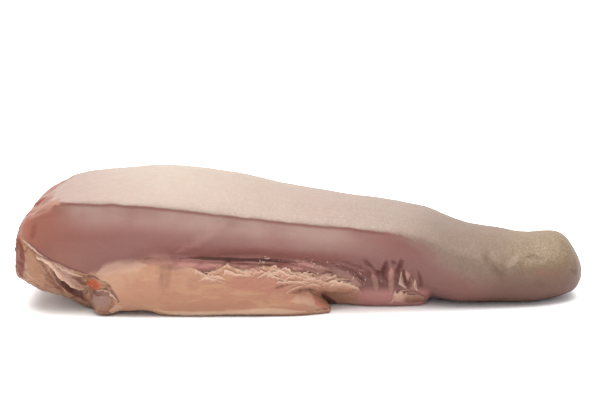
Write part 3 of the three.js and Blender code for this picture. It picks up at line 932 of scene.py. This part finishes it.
tearMesh = {
    "step": 0.5,  # mm between points along a tear
    "rows": 8,  # rows of points from its root to its free edge
    "sunk": 1.0,  # how far in front of its root a tear may dip into the flesh
    "buried": 0.9,  # how deep its root lies in the flesh
    "wall": 0.9,  # thickness at the root
    "thin": 0.2,  # thickness of the free edge beside the root
    "clear": 0.4,  # lowest it may hang above the surface it lies on
}


def scatterShreds(label, count, top, draw):
    made = {}
    for i in range(count):
        x = draw.uniform(*shreds["x"])
        z = float(line(top, x)) - draw.uniform(*shreds["down"])
        half = draw.uniform(*shreds["length"]) / 2
        turn = draw.uniform(*shreds["turn"])
        made[f"{label}_{i + 1}"] = {
            "path": [(x - half, z - half * turn), (x, z + 0.4), (x + half, z + half * turn)],
            "rise": draw.uniform(*shreds["rise"]),
            "towards": (draw.uniform(*shreds["towards"]), 1),
            "peak": draw.uniform(*shreds["peak"]),
            "teeth": draw.uniform(*shreds["teeth"]),
            "bow": draw.uniform(*shreds["bow"]),
            "lean": draw.uniform(*shreds["lean"]),
        }
    return made


def tornMaterial(tone):
    s = Shader("torn " + tone)
    free = s.mark("free")
    mottle = s.noise(4, 4, 0.6, 0.8)
    body = s.along(palette["fat"]) if tone == "fat" else palette[tone]
    if tone == "rag":
        body = s.mix(s.step(s.axis("X"), 58 * mm, 64 * mm), body, palette["ragShade"])
    colour = s.mix(s.step(mottle, 0.42, 0.7, 0, 0.3), body, palette["deepFat"])
    # the free edge is paler, partly the fat's own pale colour and partly a painted highlight
    rim = 0.3 if tone == "rag" else 0.7
    colour = s.mix(s.step(free, 0.25, 1, 0, rim), colour, palette["tornRimHighlight"])
    fibre = s.bump(s.noise(1.6, 4, 0.65, 0.5, (1, 1, 2), 3), 0.35)
    return s.close(tornGloss, {"Base Color": colour, "Normal": fibre})


def spikes(distance, apart, seed):
    # sharp peaks about that far apart, 1 at their tips and 0 between them
    return max(0, 1 - 2.4 * abs(noise.noise(Vector((distance / apart, seed, 0))))) ** 2


def tearHeight(tear, along, length, seed):
    peak = tear.get("peak", 0.5)
    slope = max(0, min(along / peak, (1 - along) / (1 - peak)))
    jag = 0.9 * spikes(along * length, 3.2, seed) + 0.7 * spikes(along * length, 1.4, seed + 5)
    teeth = tear["teeth"]
    return tear["rise"] * (0.12 + 0.88 * slope ** tear.get("bow", 0.6)) * (1 - teeth + teeth * jag)


def makeTear(name, tear, near, skin, finishes, seed):
    facing = -1 if near else 1
    inward = Vector((0, -facing, 0))
    towards = np.array(tear.get("towards", (0, 1)), float)
    towards /= np.linalg.norm(towards)
    lean = tear.get("lean", 0.25)
    base = smoothPath(tear["path"], 12)
    length = np.linalg.norm(np.diff(base, axis=0), axis=1).sum()
    bm = bmesh.new()
    columns = max(10, round(length / tearMesh["step"]))
    bmesh.ops.create_grid(bm, x_segments=columns, y_segments=tearMesh["rows"], size=0.5)
    free = {}
    for vert in bm.verts:
        along, out = vert.co.x + 0.5, vert.co.y + 0.5
        spot = along * (len(base) - 1)
        i = min(int(spot), len(base) - 2)
        x, z = base[i] + (base[i + 1] - base[i]) * (spot - i)
        height = tearHeight(tear, along, length, seed)
        px, pz = x + towards[0] * height * out, z + towards[1] * height * out
        hit = skin.ray_cast(Vector((px, facing * 120, pz)) * mm, inward)[0]
        root = skin.ray_cast(Vector((x, facing * 120, z)) * mm, inward)[0]
        root = root or skin.find_nearest(Vector((x, facing * 20, z)) * mm)[0]
        y = facing * max(facing * (hit or root).y / mm, facing * root.y / mm - tearMesh["sunk"])
        wave = noise.noise(Vector((along * length / 4, out, seed + 9)))
        off = lean * height * out ** 1.3 * (1 + 0.6 * wave) - tearMesh["buried"] * (1 - out) ** 2
        free[vert.index] = out
        vert.co = Vector((px, y + facing * off, max(pz, tearMesh["clear"]))) * mm
    piece = addPiece(name, bm, finishes[tear.get("tone", "fat")])
    data = piece.data.attributes.new("free", "FLOAT", "POINT").data
    data.foreach_set("value", np.array([free[i] for i in range(len(free))], np.float32))
    body = piece.vertex_groups.new(name="body")
    for i, out in free.items():
        body.add([i], 1 - out, "REPLACE")
    wall = piece.modifiers.new("wall", "SOLIDIFY")
    wall.thickness = tearMesh["wall"] * mm
    wall.offset = 0
    wall.vertex_group = "body"
    wall.thickness_vertex_group = tearMesh["thin"]
    soft = piece.modifiers.new("soft", "SUBSURF")
    soft.levels = soft.render_levels = 1
    bake(piece)
    bm = bmesh.new()
    bm.from_mesh(piece.data)
    bmesh.ops.recalc_face_normals(bm, faces=bm.faces)
    bm.to_mesh(piece.data)
    bm.free()
    piece.data.shade_smooth()
    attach(piece, "root")


def makeTears():
    draw = np.random.default_rng(shreds["seed"])
    finishes = {tone: tornMaterial(tone) for tone in ("fat", "membrane", "rag", "foldHighlight")}
    skin = BVHTree.FromObject(flesh, bpy.context.evaluated_depsgraph_get())
    small = scatterShreds("shred", shreds["near"], tongue["fatTop"], draw)
    farSmall = scatterShreds("far_shred", shreds["far"], tongue["farFatTop"], draw)
    for near, group in ((True, {**tornEdges, **small}), (False, {**farTears, **farSmall})):
        for i, (name, tear) in enumerate(group.items()):
            makeTear(name, tear, near, skin, finishes, i * 3.7 + 1.3)


makeTears()
print("torn edges made")

studio = {"floor": srgb(252, 252, 252), "floorSize": 12, "sky": 1.15, "softbox": 34.5,
          "softboxSize": 1500, "softboxAt": (-60, -40, 1200)}  # floor in metres, softbox in mm


def makeStudio():
    bm = bmesh.new()
    bmesh.ops.create_grid(bm, x_segments=1, y_segments=1, size=studio["floorSize"])
    s = Shader("pale floor")
    paper = s.close({"Base Color": studio["floor"], "Roughness": 0.9, "Specular IOR Level": 0.1}, {})
    floor = addPiece("floor", bm, paper)
    world = bpy.data.worlds.new("sky")
    world.use_nodes = True
    sky = world.node_tree.nodes["Background"]
    sky.inputs["Color"].default_value = (1, 1, 1, 1)
    sky.inputs["Strength"].default_value = studio["sky"]
    bpy.context.scene.world = world
    lamp = bpy.data.lights.new("softbox", "AREA")
    lamp.shape = "SQUARE"
    lamp.size = studio["softboxSize"] * mm
    lamp.energy = studio["softbox"]
    holder = bpy.data.objects.new("softbox", lamp)
    bpy.context.scene.collection.objects.link(holder)
    holder.location = Vector(studio["softboxAt"]) * mm
    holder.rotation_euler = Vector(studio["softboxAt"]).to_track_quat("Z", "Y").to_euler()
    bpy.context.scene.view_settings.view_transform = "Standard"


makeStudio()

print("done")
